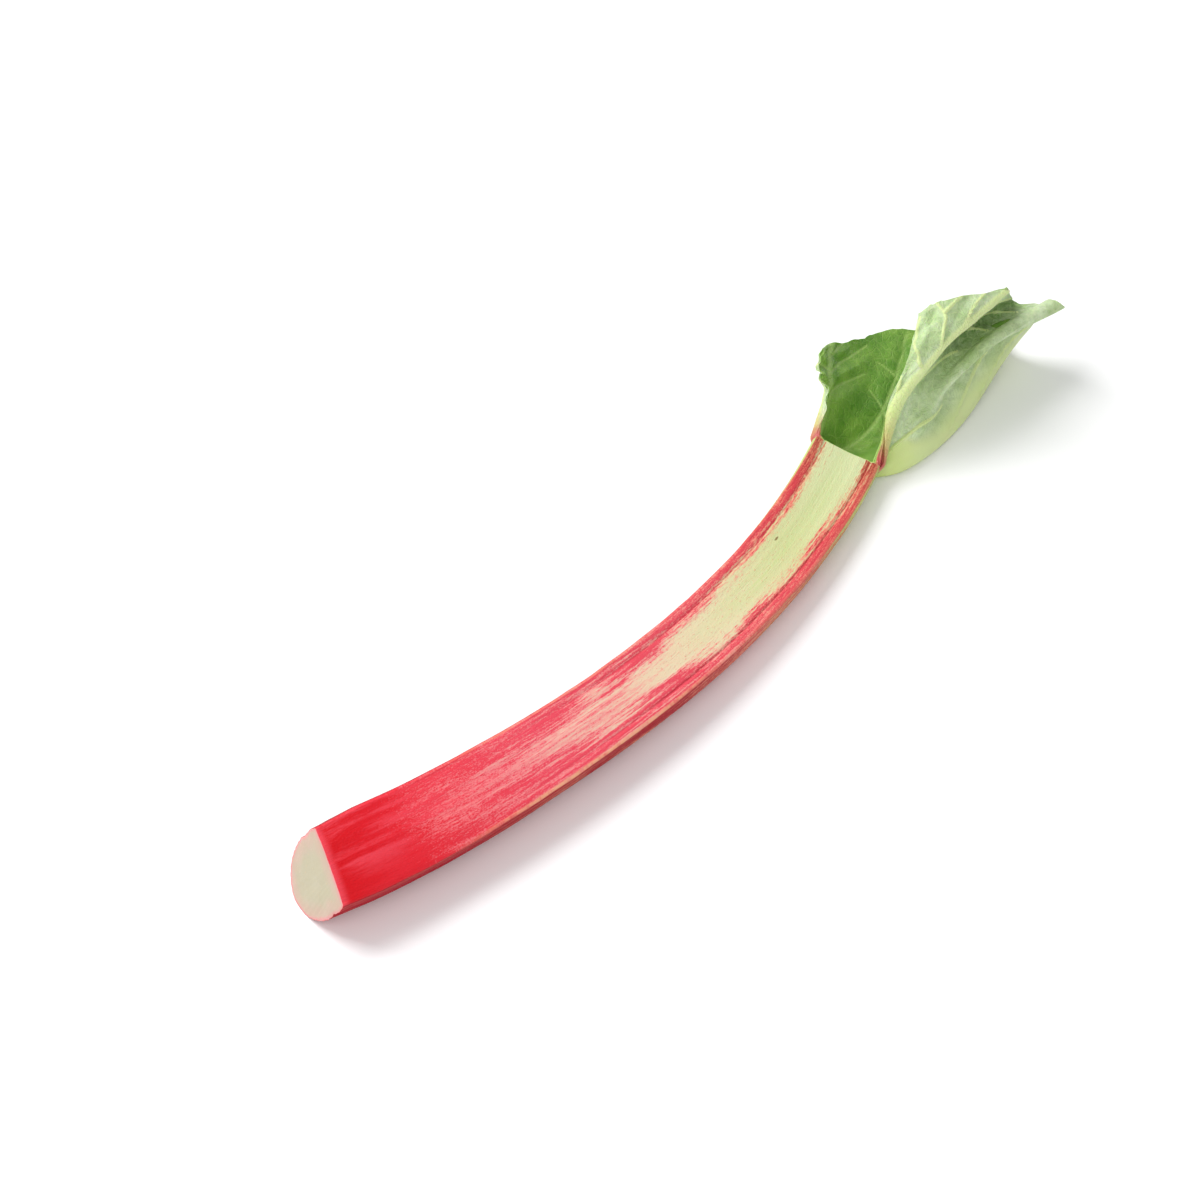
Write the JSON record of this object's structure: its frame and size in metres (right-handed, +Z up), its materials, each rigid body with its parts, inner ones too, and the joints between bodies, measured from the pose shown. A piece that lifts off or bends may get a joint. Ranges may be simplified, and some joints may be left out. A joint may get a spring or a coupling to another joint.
{
  "type": "rhubarb stalk",
  "caption": "Picked rhubarb stalk lying on a surface, with a knife-cut red foot, a flat-faced ribbed stem fading to green, and the folded, trimmed start of its leaf.",
  "frame": {"origin": "under the middle of the whole piece, on the surface that it lies on", "axes": "+X along the piece from the cut foot towards the leaf, +Y to the left seen from the foot, +Z up"},
  "size_m": [0.49, 0.1044, 0.071],
  "materials": {
    "stalk_skin": "satin plant skin, red at the foot and fading to pale green at the top, with red edges",
    "leaf_green": "soft matt leaf, pale grey-green outside with raised pale veins, darker green inside"
  },
  "bodies": {
    "root": {"stalk": "stalk_skin", "leaf": "leaf_green"}
  },
  "joints": []
}
